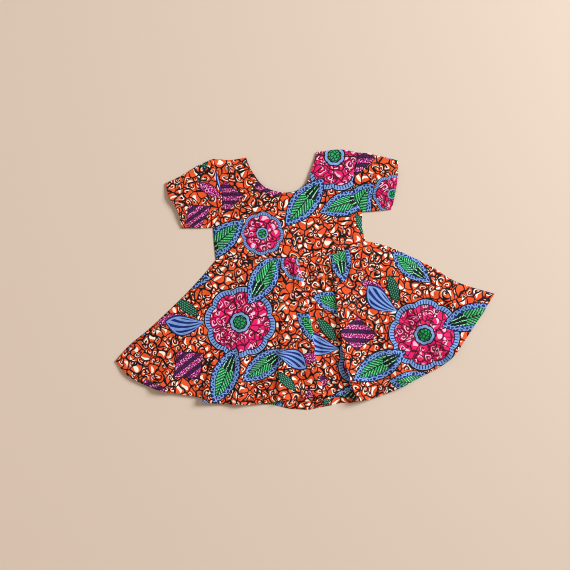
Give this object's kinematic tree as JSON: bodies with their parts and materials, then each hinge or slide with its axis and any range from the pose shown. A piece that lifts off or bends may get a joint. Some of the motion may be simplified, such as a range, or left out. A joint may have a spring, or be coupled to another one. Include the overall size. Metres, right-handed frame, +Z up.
{
  "type": "child's wax-print cotton dress, laid flat",
  "caption": "Child's wax-print cotton dress laid flat: scoop-neck bodice, short sleeves and a flared skirt gathered at the waist, over its own back panels.",
  "frame": {"origin": "middle of the dress's box in plan, on the surface that it lies on", "axes": "+X to the right as one looks down on the dress, +Y towards the neck, +Z up off the surface"},
  "size_m": [0.69, 0.4666, 0.0129],
  "materials": {
    "wax_print_cotton": "plain-woven printed cotton, matt, orange ground with dark crackle lines and a large motif print"
  },
  "bodies": {
    "root": {"bodice_front": "wax_print_cotton", "bodice_back": "wax_print_cotton", "sleeve_left": "wax_print_cotton", "sleeve_right": "wax_print_cotton", "skirt_front": "wax_print_cotton", "skirt_back": "wax_print_cotton"}
  },
  "joints": []
}
